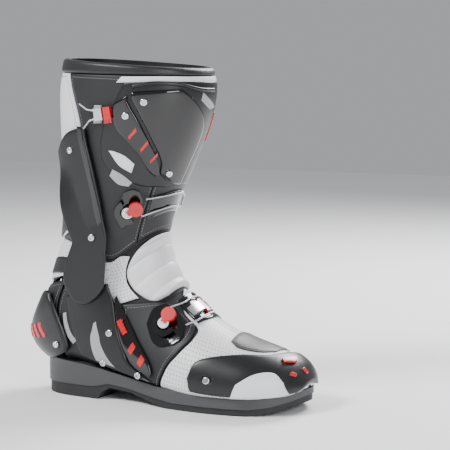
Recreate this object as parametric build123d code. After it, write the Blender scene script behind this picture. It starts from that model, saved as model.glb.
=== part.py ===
from build123d import *
import math
import os
import numpy as np

# A right-foot road-racing motorcycle boot.  +X to the toe, +Y to the inner (medial) side, +Z up.
# The origin is on the ground, on the flat face of the heel tread.

# ---- driving dimensions, in mm ----
ankle_x, ankle_z = 16.0, 112.0         # ankle hinge axis, along Y
leather = (0.0, 2.0)                   # layers, as distances out from the leather's inner face
liner = (-3.0, -0.5)
overlay = (2.5, 4.0)
plate = (4.4, 7.0)
high_plate = (5.0, 8.0)
arm_layer = (5.4, 8.8)
cheek_y = 51.8                         # inner face of the brace arms beside the hinge
pin_r, pin_clear = 4.0, 0.05
screw_r, screw_head, screw_lift = 3.6, 2.2, 0.3
cable_r = 0.9
insole_t, footbed_t = 2.4, 3.6

# Stations along the boot, from the toe tip (-1) over the ankle bend (9) to the rim (16):
# front or top x, z; back or bottom x, z; half width outer, inner; centre y;
# height of the widest place; roundness of the upper half and of the lower half.
stations = np.array([
    [229.5, 25, 229.5, 22.5, 3, 2.5, 10, -0.2, 2.0, 2.2],
    [227, 27, 226, 21, 16, 14, 10, -0.2, 2.0, 2.2],
    [222, 39, 220, 17, 31, 27, 10, -0.3, 2.0, 2.6],
    [213, 48, 209, 14, 41, 36, 8, -0.35, 2.1, 3.0],
    [195, 56, 191, 12, 49, 43, 5, -0.4, 2.1, 3.2],
    [170, 64, 164, 12, 52, 48, 2, -0.45, 2.1, 3.4],
    [145, 74, 130, 13, 53, 50, 0, -0.45, 2.1, 3.4],
    [121, 88, 92, 17, 49, 47, 0, -0.45, 2.1, 3.2],
    [101, 106, 50, 24, 45, 44, 0, -0.4, 2.1, 3.0],
    [86, 127, 5, 31, 43, 41, 0, -0.3, 2.1, 2.8],
    [78, 150, -42, 36, 42, 40, 0, -0.15, 2.1, 2.5],
    [79, 174, -67, 62, 43, 41, 0, 0.0, 2.1, 2.3],
    [87, 200, -47, 112, 45, 43, 0, 0.0, 2.1, 2.2],
    [99, 228, -32, 160, 48, 46, 0, 0.0, 2.1, 2.1],
    [112, 258, -29, 210, 53, 51, 0, 0.0, 2.1, 2.1],
    [122, 288, -31, 262, 58, 56, 0, 0.0, 2.1, 2.1],
    [125, 312, -31, 308, 61, 58, 0, 0.0, 2.1, 2.1],
    [121, 330, -24, 340, 61, 58, 0, 0.0, 2.1, 2.1],
])

# Height of the line where the upper meets the midsole, along x.
feather_x = [-75, -45, -20, 5, 30, 50, 70, 92, 130, 165, 191, 209, 220, 240]
feather_z = [39, 38, 36, 34, 31, 28, 24.5, 21, 17.5, 16.5, 16.5, 18, 20, 24]


def feather(x):
    return np.interp(x, feather_x, feather_z)


def through(points, where):
    """A smooth curve through the rows of points; where counts rows from 0."""
    points = np.asarray(points, float)
    last = len(points) - 1
    where = np.clip(np.asarray(where, float), 0, last)
    i = np.minimum(where.astype(int), last - 1)
    f = (where - i)[..., None]
    ends = np.vstack([2 * points[0] - points[1], points, 2 * points[-1] - points[-2]])
    a, b, c, d = ends[i], ends[i + 1], ends[i + 2], ends[i + 3]
    return b + 0.5 * f * ((c - a) + f * ((2 * a - 5 * b + 4 * c - d) + f * (3 * (b - c) + d - a)))


def skin(t, angle, out=0.0):
    """Points at station t and an angle in degrees: 0 front or top, 90 inner, 180 back, -90 outer."""
    t, angle, out = np.broadcast_arrays(*(np.asarray(v, float) for v in (t, angle, out)))
    v = through(stations, t + 1)
    xf, zf, xb, zb, outer, inner, yc, widest, round_up, round_down = (v[..., k] for k in range(10))
    grow = out * np.clip(t + 1, 0, 1)
    half = np.hypot(xf - xb, zf - zb) / 2
    ux, uz = (xf - xb) / 2 / half, (zf - zb) / 2 / half
    c, s = np.cos(np.radians(angle)), np.sin(np.radians(angle))
    power = 2 / np.where(c > 0, round_up, round_down)
    up = np.where(c > 0, widest + (1 - widest) * abs(c) ** power, widest - (1 + widest) * abs(c) ** power)
    side = yc + np.sign(s) * (np.where(s > 0, inner, outer) + grow) * abs(s) ** power
    forward = out * np.clip(1 - t / 3, 0, 1)
    x = (xf + xb) / 2 + ux * (half + grow) * up + forward
    z = (zf + zb) / 2 + uz * (half + grow) * up
    return np.stack([x, side, z], -1)


def cheek(points):
    """Below the shin the brace arms are flat, beside the hinge; above they follow the leg."""
    x, y, z = points[..., 0], points[..., 1], points[..., 2]
    outward = points[..., 3]
    flat = cheek_y + outward
    blend = np.clip((235 - z) / 45, 0, 1)
    blend = blend * blend * (3 - 2 * blend)
    wide = np.maximum(abs(y), flat)
    return np.stack([x, np.sign(y) * (abs(y) + blend * (wide - abs(y))), z], -1)


def even(edge, count):
    """Points at equal distances along a smooth edge given as (station, angle)."""
    fine = through(edge, np.linspace(0, len(edge) - 1, 240))
    walk = np.linalg.norm(np.diff(skin(fine[:, 0], fine[:, 1]), axis=0), axis=1)
    walk = np.concatenate([[0], np.cumsum(walk)])
    places = np.linspace(0, walk[-1], count)
    return np.stack([np.interp(places, walk, fine[:, k]) for k in (0, 1)], -1)


def sheet(low, high, left, right, count):
    """A grid of (station, angle) between four edges that meet at their ends."""
    left = left or [low[0], high[0]]
    right = right or [low[-1], high[-1]]
    b, t = (even(e, count[0])[:, None] for e in (low, high))
    l, r = (even(e, count[1])[None] for e in (left, right))
    u = np.linspace(0, 1, count[0])[:, None, None]
    v = np.linspace(0, 1, count[1])[None, :, None]
    corners = (1 - u) * (1 - v) * l[:, :1] + (1 - u) * v * l[:, -1:]
    corners = corners + u * (1 - v) * r[:, :1] + u * v * r[:, -1:]
    return (1 - v) * b + v * t + (1 - u) * l + u * r - corners


def closed_sheet(inner, outer):
    """The solid between two grids of points, as strips ruled between smooth lines."""
    lines = [[Edge.make_spline([Vector(*p) for p in grid[:, k]]) for k in range(grid.shape[1])]
             for grid in (inner, outer)]
    faces = [Face.make_surface_from_curves(a, b) for side in lines for a, b in zip(side, side[1:])]
    for k in (0, -1):
        faces.append(Face.make_surface_from_curves(lines[0][k], lines[1][k]))
        ends = [Edge.make_line(Vector(*a), Vector(*b)) for a, b in zip(inner[k], outer[k])]
        faces += [Face.make_surface_from_curves(a, b) for a, b in zip(ends, ends[1:])]
    return Solid(Shell(faces))


def panel(layer, low, high, left=None, right=None, flat=False, count=(12, 9)):
    """A panel of the boot between two distances out from the skin."""
    grid = sheet(low, high, left, right, count)
    faces = []
    for out in layer:
        points = skin(grid[..., 0], grid[..., 1], out)
        if flat:
            outward = np.full(points.shape[:2] + (1,), out - layer[0])
            points = cheek(np.concatenate([points, outward], -1))
        faces.append(points)
    return closed_sheet(*faces)


def mirrored(edge):
    return [(t, -angle) for t, angle in edge]


def foot_line(t, side, lift=2.2):
    """The angle where the skin at station t comes down to the midsole."""
    angles = np.linspace(80, 180, 401)
    p = skin(t, side * angles)
    low = p[:, 2] <= feather(p[:, 0]) + lift
    return side * (angles[np.argmax(low)] if low.any() else 180.0)


def along_foot(places, side):
    return [(t, foot_line(t, side)) for t in places]


def seat(t, angle, out, toward=(0.0, 1.0)):
    """A plane on the skin: z out of the boot, x towards a change of (station, angle)."""
    here = skin(t, angle, out)
    step = 0.02
    a = skin(t + step, angle, out) - here
    b = skin(t, angle + 1, out) - here
    normal = np.cross(b, a)
    if np.dot(normal, skin(t, angle, out + 1) - here) < 0:
        normal = -normal
    ahead = toward[0] * a / np.linalg.norm(a) + toward[1] * b / np.linalg.norm(b)
    return Plane(origin=Vector(*here), x_dir=Vector(*ahead), z_dir=Vector(*normal))


def arm_seat(t, angle):
    """A plane on the outer face of a brace arm."""
    def face(t, angle):
        return cheek(np.append(skin(t, angle, arm_layer[1] + screw_lift), arm_layer[1] - arm_layer[0] + screw_lift))
    here = face(t, angle)
    a, b = face(t + 0.05, angle) - here, face(t, angle + 1) - here
    normal = np.cross(b, a) * math.copysign(1, np.cross(b, a)[1] * angle)
    return Plane(origin=Vector(*here), x_dir=Vector(*a), z_dir=Vector(*normal))


def placed(shape, frame):
    return frame.location * shape


parts = {}
bodies = {"foot": [], "shaft": []}


def keep(name, shape, body="foot"):
    parts[name] = shape
    bodies.setdefault(body, []).append(name)


# ---- sole unit ----
plan = [(226, -12, 30), (214, -30, 42), (195, -43, 48), (170, -50, 49), (140, -52, 48), (110, -50, 45),
        (75, -46, 42), (40, -43, 40), (5, -40, 38), (-25, -36, 35), (-45, -24, 24)]    # x, outer y, inner y
plan_tip, plan_heel = (232, 9), (-53, 0)


def sole_plan(grow):
    """The sole seen from above, widened all round."""
    outer = [(x, y) for x, y, _ in plan]
    inner = [(x, y) for x, _, y in plan[::-1]]
    middle_x, middle_y = 90, 0
    points = [plan_tip] + outer + [plan_heel] + inner
    return make_face(Spline([Vector(x + grow * (x - middle_x) / 142, y + grow * (y - middle_y) / 46, 0)
                             for x, y in points], periodic=True))


def sole_layer(grow, top, bottom):
    """A slab with the sole's plan whose top and bottom follow two side profiles."""
    block = extrude(sole_plan(grow), 60)
    profile = Polyline([(x, 0, z) for x, z in top + bottom[::-1]], close=True)
    return (block & extrude(make_face(profile), 90, both=True)).solid()


top_line = [(x, z - 0.1) for x, z in zip(feather_x, feather_z)]
tread_line = [(-75, 6), (-48, 1.2), (-40, 0), (21, 0), (27, 8), (36, 13), (62, 11), (88, 3.5), (104, 0),
              (186, 0), (205, 1.5), (222, 6), (240, 13)]
parting_line = [(-75, 13), (-46, 12), (16, 12.5), (36, 17), (62, 14.5), (88, 9.5), (110, 6.5), (190, 6.5),
                (208, 8.5), (224, 13), (240, 19)]
keep("outsole", sole_layer(-1.2, parting_line, tread_line))
keep("midsole", sole_layer(0, top_line, [(x, z + 0.1) for x, z in parting_line]))


def inside_layer(low, high):
    lines = [[(x, z + lift) for x, z in zip(feather_x, feather_z)] for lift in (high, low)]
    return sole_layer(-11, *lines)


keep("insole_board", inside_layer(0.5, 0.5 + insole_t))
keep("footbed", inside_layer(0.7 + insole_t, 0.7 + insole_t + footbed_t))

# ---- leather of the foot ----
vamp_back = [(7.2, -1), (6.45, -24), (5.62, -29), (5.5, -45), (5.68, -66), (5.88, -90)]


def vamp(side):
    edge = along_foot([0.3, 1, 2, 3, 4, 5, 5.88], -1)
    back = vamp_back + [edge[-1]]
    front = [(-0.9, -1), (-0.9, -50), (-0.9, -98)]
    top = [(t, -0.7) for t in (-0.9, 0.3, 1, 2, 3, 4, 5, 6, 7.2)]
    top[-1], top[0] = back[0], front[0]
    foot = [front[-1], (-0.3, -98)] + edge
    edges = [front, back, top, foot]
    if side > 0:
        edges = [mirrored(e) for e in edges]
    return panel(leather, *edges, count=(14, 18))


keep("vamp_lateral", vamp(-1))
keep("vamp_medial", vamp(1))

instep_edge = [(8.3, -66), (7.7, -78), (7.1, -92), (6.75, -104)]
front_edge = [(5.72, -29), (5.6, -45), (5.76, -66), (5.95, -90)]


def instep(side):
    front = front_edge + along_foot([5.97], -1)
    back = instep_edge + along_foot([6.6], -1)
    top = [front[0], (6.5, -26.5), (7.2, -35.5), (7.8, -53), back[0]]
    foot = [front[-1], back[-1]]
    edges = [front, back, top, foot]
    if side > 0:
        edges = [mirrored(e) for e in edges]
    return panel(leather, *edges)


keep("instep_panel", instep(-1))

quarter_top = [(8.38, -66), (9.0, -67), (9.7, -76), (10.1, -90), (10.5, -103)]
quarter_back = [(10.5, -103), (9.6, -111), (8.9, -122)]
heel_start = 8.5


def quarter_lateral():
    front = [(t + 0.07, angle) for t, angle in instep_edge] + along_foot([6.67], -1)
    front[0] = quarter_top[0]
    back = quarter_back + along_foot([heel_start], -1)
    return panel(leather, front, back, quarter_top, along_foot([6.67, 7.2, 7.8, heel_start], -1))


def quarter_medial():
    front = mirrored(front_edge) + along_foot([5.97], 1)
    back = mirrored(quarter_back) + along_foot([heel_start], 1)
    top = [(5.72, 29), (6.5, 26.5), (7.2, 36), (7.8, 55)] + mirrored(quarter_top)
    return panel(leather, front, back, top, along_foot([5.97, 6.6, 7.2, 7.8, heel_start], 1),
                 count=(16, 14))


keep("quarter_lateral", quarter_lateral())
keep("quarter_medial", quarter_medial())


def around_heel(half_edge):
    """An edge given on the outer side, carried round the back to the inner side."""
    outer = [(t, angle) for t, angle in half_edge]
    return outer + [(t, -360 - angle) for t, angle in half_edge[::-1] if angle > -180]


heel_base = along_foot([8.54, 8.66, 8.78, 8.88], -1) + [(9.22, -180)]
counter_top = [(10.46, -106), (10.7, -125), (10.85, -150), (10.9, -180)]
counter_side = [heel_base[0], (9.0, -124), (9.7, -113), counter_top[0]]
keep("heel_counter", panel(leather, around_heel(heel_base), around_heel(counter_top), counter_side,
                           [(t, -360 - angle) for t, angle in counter_side], count=(24, 8)))

# ---- soft ankle, which bends with the hinge ----
flex_side = [(7.3, -26), (7.5, -42), (8.12, -50), (8.8, -52), (9.2, -50), (9.55, -41), (9.68, -26)]
flex_side_medial = mirrored(flex_side)
keep("flex_panel", panel(leather, [(7.3, -26), (7.32, 0), (7.3, 26)], [(9.68, -26), (9.66, 0), (9.68, 26)],
                         flex_side, flex_side_medial, count=(12, 10)))


def ankle_panel(side):
    front = [(8.0, -53), (8.4, -54.3), (8.8, -54.5), (9.22, -52.5), (9.5, -48.5)]
    low = [front[0], (8.45, -69), (9.0, -70.5), (9.75, -80.5), (10.15, -93)]
    high = [front[-1], (9.78, -57), (9.86, -65), (10.35, -80), (10.88, -95)]
    back = [low[-1], high[-1]]
    edges = [low, high, front, back]
    if side > 0:
        edges = [mirrored(e) for e in edges]
    return panel(leather, *edges)


keep("ankle_panel_lateral", ankle_panel(-1))
keep("ankle_panel_medial", ankle_panel(1))

achilles_low = [(10.2, -95), (10.6, -108), (10.85, -130), (10.98, -155), (11.0, -180)]
achilles_high = [(10.95, -97), (11.4, -112), (11.75, -135), (11.8, -158), (11.8, -180)]
keep("achilles_panel", panel(leather, around_heel(achilles_low), around_heel(achilles_high), count=(24, 6)))

# ---- linings ----
lining_low = [(9.4, -178), (10.75, -150), (10.6, -108), (10.05, -90), (9.4, -72), (8.3, -68), (7.25, -36),
              (7.15, 0)]
lining_high = [(11.95, -178), (11.95, -150), (11.6, -112), (10.8, -90), (9.95, -66), (9.85, -45), (9.8, -26),
               (9.78, 0)]


def whole(half_edge, shift=0.0):
    half = [(t + shift, angle) for t, angle in half_edge]
    return half + mirrored(half)[-2::-1]


foot_edge = along_foot([1, 2, 3, 4, 5, 6, 7, 8, 8.6], -1)
toe_ring = [(0.5, -97), (0.5, -60), (0.5, 0), (0.5, 60), (0.5, 97)]
foot_edge = [toe_ring[0]] + foot_edge
foot_mouth = whole([foot_edge[-1], (10.3, -116)] + lining_low[3:])
keep("foot_liner", panel(liner, toe_ring, foot_mouth, foot_edge, mirrored(foot_edge), count=(24, 14)))
keep("ankle_liner", panel(liner, whole(lining_low, 0.08), whole(lining_high, -0.08), count=(30, 6)))
keep("shaft_liner", panel(liner, whole(lining_high), [(15.6, a) for a in range(-178, 179, 12)] + [(15.6, 178)],
                          count=(30, 9)), "shaft")

# ---- leather of the shaft ----
rim_t = 15.55
shaft_low_lateral = [(9.9, -41), (9.93, -64), (10.75, -84), (11.35, -100), (11.85, -112)]
calf_lateral = [(11.85, -112), (13, -110), (14.1, -112), (rim_t, -127)]
calf_medial = [(11.85, 124), (13, 110), (14.1, 96), (rim_t, 98)]
keep("shaft_front", panel(leather, [(9.9, -40), (9.82, 0), (9.9, 40)], [(rim_t, -40), (rim_t, 40)]), "shaft")
keep("shaft_lateral", panel(leather, shaft_low_lateral, [(rim_t, -41), (rim_t, -127)],
                            [(9.9, -41), (rim_t, -41)], calf_lateral), "shaft")
keep("shaft_medial", panel(leather, mirrored(shaft_low_lateral)[:4] + [calf_medial[0]],
                           [(rim_t, 41), (rim_t, 98)], [(9.9, 41), (rim_t, 41)], calf_medial), "shaft")
calf_low = [(11.87, -113), (11.9, -150), (11.9, -180), (11.9, -210), (11.87, -235)]
keep("calf_panel", panel(leather, calf_low, [(rim_t, -128), (rim_t, -180), (rim_t, -261)],
                         [calf_low[0], (13, -111), (14.1, -113), (rim_t, -128)],
                         [calf_low[-1], (13, -249), (14.1, -263), (rim_t, -261)], count=(20, 9)), "shaft")
ring = [(15.62, angle) for angle in range(-178, 179, 4)]
keep("collar", panel((-3, 4), ring, [(15.98, angle) for _, angle in ring], count=(40, 4)), "shaft")

# ---- plates, straps and pads ----
yoke_front = [(6.1, -104), (6.55, -99), (7.17, -89), (8.0, -75.5), (8.55, -68), (9.2, -67)]
yoke_rear = [(8.15, -118), (8.5, -106), (8.9, -99), (9.4, -97), (9.9, -98)]


def yoke(side):
    low = [yoke_front[0], (6.7, -110), (7.4, -116), yoke_rear[0]]
    edges = [low, [yoke_front[-1], (9.7, -83), yoke_rear[-1]], yoke_front, yoke_rear]
    if side > 0:
        edges = [mirrored(e) for e in edges]
    hole = Pos(ankle_x, 0, ankle_z) * Cylinder(pin_r, 300, rotation=(90, 0, 0))
    return (panel(plate, *edges) - hole).solid()


arm_rear = [(9.4, -89), (10.02, -96), (10.62, -105), (11.05, -108), (11.42, -108), (11.65, -113),
            (12.25, -126), (12.85, -134), (13.67, -142)]
arm_front = [(9.02, -74), (9.15, -67), (9.9, -65), (10.82, -72), (11.82, -86), (13.5, -102), (14.05, -105)]
arm_rear_medial = [(9.4, 89), (10.0, 97), (10.6, 107), (11.0, 106), (11.5, 102), (12.2, 110), (13, 127),
                   (13.7, 138)]
arm_front_medial = [(9.02, 74), (9.3, 66), (10.4, 67), (11.4, 79), (12.6, 89), (13.6, 90), (14.2, 90)]


def arm(rear, front):
    side = math.copysign(1, rear[0][1])
    low = [rear[0], (9.1, side * 82), front[0]]
    high = [rear[-1], (13.98, side * 124), front[-1]]
    shape = panel(arm_layer, low, high, rear, front, flat=True, count=(9, 14))
    hole = Pos(ankle_x, side * (cheek_y + 1.1), ankle_z) * Cylinder(pin_r + pin_clear, 3, rotation=(90, 0, 0))
    return (shape - hole).solid()


for side, tag in ((-1, "lateral"), (1, "medial")):
    keep(f"yoke_{tag}", yoke(side))
    rear, front = (arm_rear, arm_front) if side < 0 else (arm_rear_medial, arm_front_medial)
    keep(f"arm_{tag}", arm(rear, front), "shaft")
pin_y = 50.5                           # middle of each pin
pin = Pos(ankle_x, 0, ankle_z) * Cylinder(pin_r - 0.02, 7.6, rotation=(90, 0, 0))
keep("hinge_pins", Compound([Pos(0, side * pin_y, 0) * pin for side in (-1, 1)]))

cup_side = [(8.72, -122), (8.75, -113), (9.07, -107), (9.57, -107), (10.07, -112), (10.45, -121)]
cup_low = [(8.72, -122), (8.95, -142), (9.2, -165), (9.25, -180)]
cup_high = [(10.45, -121), (10.75, -145), (10.82, -165), (10.84, -180)]
keep("heel_cup", panel((5, 8.5), around_heel(cup_low), around_heel(cup_high), cup_side,
                       [(t, -360 - angle) for t, angle in cup_side], count=(24, 9)))
vent_rear = [(6.2, -96), (6.72, -93.5), (7.35, -85.5), (8.05, -74), (8.6, -66)]
vent_front = [(6.2, -91), (6.57, -82), (7.5, -70.5), (8.27, -65.5), (8.62, -64)]
keep("vent_plate", panel((4.4, 6.6), [vent_rear[0], vent_front[0]], [vent_rear[-1], vent_front[-1]],
                         vent_rear, vent_front, count=(5, 12)))
guard_top = [(5.1, -84), (5.02, -66), (4.6, -54), (3.7, -38), (2.8, -23), (2.35, 0), (2.2, 25), (2.1, 55),
             (2.2, 88)]
guard_low = [(4.9, -98), (4, -98), (3, -98), (2, -98), (1, -98), (0.2, -94), (-0.35, -60), (-0.5, 0),
             (-0.35, 60), (0.2, 94), (1, 98), (2, 98)]
keep("toe_guard", panel((2.6, 5.2), guard_low, guard_top, count=(26, 8)))
keep("toe_puck", panel((5.6, 8.2), [(3.5, -93), (2.6, -93), (1.7, -93), (1.2, -90)],
                       [(3.3, -78), (2.7, -60), (2.1, -56), (1.5, -72)], count=(9, 7)))
keep("toe_vent_slider", panel((5.6, 7.4), [(1.95, -30), (1.45, -14)], [(2.2, -24), (1.75, -6)],
                              count=(6, 5)), "toe_vent")
keep("gear_pad", panel((2.5, 3.6), [(2.75, -8), (2.75, 30), (2.8, 66)], [(4.35, -22), (4.5, 20), (4.3, 66)],
                       [(2.75, -8), (3.2, -22), (3.9, -28), (4.35, -22)], count=(12, 8)))
keep("instep_strap", panel(overlay, [(5.72, -24), (5.6, 0), (5.7, 40), (5.9, 100)],
                           [(6.9, -24), (6.95, 0), (7.0, 40), (7.0, 100)], count=(16, 6)))
keep("instep_bracket", panel((4.4, 8.4), [(5.95, -24), (5.95, -5)], [(6.35, -24), (6.35, -5)], count=(6, 4)))
keep("instep_hook", panel((5.0, 7.6), [(5.85, -3), (5.85, 3)], [(6.45, -3), (6.45, 3)], count=(5, 5)),
     "instep_hook")

frame_side = [(11.55, -24), (12.05, -56), (12.9, -86), (13.4, -93), (14, -91), (14.5, -84), (15.2, -76)]
keep("shin_frame", panel(overlay, [(11.55, -24), (11.5, 0), (11.55, 22)], [(15.2, -76), (15.25, -20), (15.2, 24)],
                         frame_side, [(11.55, 22), (13, 25), (15.2, 24)], count=(12, 14)), "shaft")
shin_seam = [(11.5, -12), (11.62, -20), (12.1, -37), (12.55, -41), (13.5, -56.5), (14.5, -69.5), (14.85, -71)]
shin_edge = [(11.45, -5), (12.8, -2), (13.5, -4), (14.3, -19), (14.9, -33)]
keep("shin_plate", panel(high_plate, [shin_seam[0], shin_edge[0]], [shin_seam[-1], shin_edge[-1]],
                         shin_seam, shin_edge, count=(12, 14)), "shaft")
side_seam = [(12.15, -39.5), (12.55, -43.5), (13.5, -59), (14.45, -72.5), (14.75, -74)]
side_edge = [(12.1, -42), (12.4, -51), (12.97, -62), (13.42, -72), (13.82, -81), (14.22, -84), (14.55, -83)]
keep("shin_side_plate", panel((4.4, 6.8), [side_seam[0], side_edge[0]], [side_seam[-1], side_edge[-1]],
                              side_seam, side_edge, count=(9, 12)), "shaft")
keep("shin_strap", panel(overlay, [(10.55, -36), (10.5, 0), (10.55, 50)], [(11.35, -38), (11.3, 0), (11.4, 50)],
                         count=(14, 5)), "shaft")
keep("achilles_guard", panel((2.5, 4.8), [(12.0, -126), (11.95, -180), (12.0, -234)],
                             [(12.8, -132), (13.0, -180), (12.8, -228)], count=(14, 6)), "shaft")

# ---- cable dials ----
dial_places = {
    "instep": ("foot", 6.6, -51, [(6.0, -60), (5.85, -50), (6.0, -40)], [(7.15, -61), (7.3, -48), (7.1, -36)],
               [(6.0, -60), (6.5, -70), (7.15, -61)], [(6.0, -40), (6.6, -31), (7.1, -36)]),
    "shin": ("shaft", 11.35, -61, [(10.95, -64), (10.8, -60), (10.9, -54)], [(12.05, -70), (12.0, -62), (11.8, -54)],
             [(10.95, -64), (11.5, -72), (12.05, -70)], [(10.9, -54), (11.3, -47), (11.8, -54)]),
}
hub_r, ring_in, ring_out, dome_r = 5.4, 7.0, 12.6, 7.2


def dial(tag, body, t, angle, low, high, left, right):
    frame = seat(t, angle, 5.0)
    keep(f"{tag}_dial_base", panel((2.6, 4.9), low, high, left, right, count=(9, 9)), body)
    hub = Pos(0, 0, 2.55) * Cylinder(hub_r, 4.9) - Pos(0, 0, 3.5) * Cylinder(2.55, 4.0)
    keep(f"{tag}_dial_hub", placed(hub, frame), body)
    ring = Cylinder(ring_out, 3) - Cylinder(ring_in, 4) - Pos(11, 0, 0) * Box(22, 40, 4)
    keep(f"{tag}_release", placed(Pos(0, 0, 3.6) * ring, frame).solid(), f"{tag}_release")
    rotor = Pos(0, 0, 3.6) * Cylinder(2.5, 3.6) + Pos(0, 0, 6.4) * Cylinder(hub_r, 2)
    keep(f"{tag}_rotor", placed(rotor, frame).solid(), f"{tag}_rotor")
    crank = Pos(4.5, 0, 8.8) * Box(9, 5, 2) + Pos(9.5, 0, 8.4) * Cylinder(dome_r, 4.6)
    crank -= Pos(0, 0, 6) * Cylinder(hub_r + 0.4, 3.6)
    keep(f"{tag}_crank", placed(crank, frame).solid(), f"{tag}_crank")
    return frame


dial_frames = {tag: dial(tag, *values) for tag, values in dial_places.items()}


def cable(points):
    """A steel cable along straight runs joined by arcs."""
    route = [skin(*p) for p in points]
    path = FilletPolyline(*[Vector(*p) for p in route], radius=4)
    start = Plane(origin=path @ 0, z_dir=path % 0)
    return sweep(start * Circle(cable_r), path=path).solid()


keep("instep_cable", cable([(6.9, -38, 6.5), (6.62, -20, 6.6), (6.62, -6, 6.8), (6.6, 6, 7), (6.15, 9, 7),
                            (5.72, 6, 7), (5.72, -8, 6.8), (5.75, -24, 6.8), (5.98, -38, 6.6)]))
keep("shin_cable", cable([(11.4, -45, 7.2), (11.2, -26, 6.6), (11.12, -8, 6.6), (11.12, 10, 6.6), (11.1, 26, 6.8),
                          (10.9, 30, 7.2), (10.68, 26, 6.8), (10.62, 8, 6.6), (10.64, -10, 6.8), (10.7, -28, 7),
                          (10.8, -44, 7.4)]), "shaft")

# ---- calf adjusters ----
calf_places = {"lateral": (14.3, -92.5), "medial": (14.3, 64)}
blocks, bails = [], []
for tag, (t, angle) in calf_places.items():
    frame = seat(t, angle, 5.0, (0, -math.copysign(1, angle)))
    blocks.append(placed(Pos(0, 0, 2.6) * Box(9, 12, 4.4), frame))
    keep(f"calf_lever_{tag}", placed(Pos(9.4, 0, 2.4) * Box(8, 12, 3), frame), f"calf_lever_{tag}")
    dial_frames[f"calf_{tag}"] = frame
    for way in (-1, 1):
        run = FilletPolyline((-5, way * 4, 2.4), (-12, way * 5.5, 2.8), (-20, way * 12, 2.6), radius=6)
        bail = sweep(Plane(origin=run @ 0, z_dir=run % 0) * Circle(cable_r), path=run)
        bails.append(placed(bail, frame).solid())
keep("calf_blocks", Compound(blocks), "shaft")
keep("calf_bails", Compound(bails), "shaft")


# ---- screws ----
def screws(places, arm_places=()):
    """Button-head screws that stand on the plates at (station, angle, height), and on the arms."""
    heads = []
    for frame in [seat(*place) for place in places] + [arm_seat(*place) for place in arm_places]:
        head = Pos(0, 0, screw_head / 2) * Cylinder(screw_r, screw_head)
        socket = Pos(0, 0, screw_head) * extrude(RegularPolygon(1.6, 6), 1, both=True)
        heads.append(placed(fillet(head.edges().sort_by(Axis.Z)[-1], 1.2) - socket, frame).solid())
    return Compound(heads)


keep("foot_screws", screws([(7.9, -83.5, 7.2), (7.55, -110, 7.2), (6.52, -100, 7.2), (8.97, -119, 8.8),
                            (8.97, 119, 8.8), (7.9, 83.5, 7.2), (7.55, 110, 7.2), (4.45, -80.5, 5.5)]))
keep("shaft_screws", screws([(14.5, -62, 8.2), (14.15, -74.5, 7.1), (12.02, -29.5, 8.2)],
                            [(13.6, -118), (11.15, -87.5), (13.5, 112), (11.15, 87.5)]), "shaft")
keep("vent_shutter", panel((7.2, 8.8), [(7.5, -78), (7.45, -74.5)], [(7.95, -74.5), (7.9, -71)], count=(5, 5)),
     "vent_shutter")


# ---- clearances: where two layers meet, the one behind gives way ----
gives_way = {
    "midsole": ("heel_cup", "heel_counter", "instep_panel", "quarter_lateral", "quarter_medial", "vamp_lateral",
                "vamp_medial"),
    "insole_board": ("heel_counter", "quarter_lateral", "quarter_medial", "foot_liner"),
    "footbed": ("foot_liner",),
    "foot_liner": ("quarter_lateral", "quarter_medial"),
    "quarter_lateral": ("achilles_panel",),
    "quarter_medial": ("achilles_panel",),
    "instep_panel": ("ankle_panel_lateral",),
}
for behind, others in gives_way.items():
    shape = parts[behind]
    for other in others:
        shape = shape - parts[other]
    parts[behind] = max(shape.solids(), key=lambda solid: solid.volume)

if __name__ == "__main__":
    for name, shape in parts.items():
        export_step(shape, f"parts/{name}.step")
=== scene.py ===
import math
import bpy
import numpy as np
from mathutils import Matrix


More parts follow.
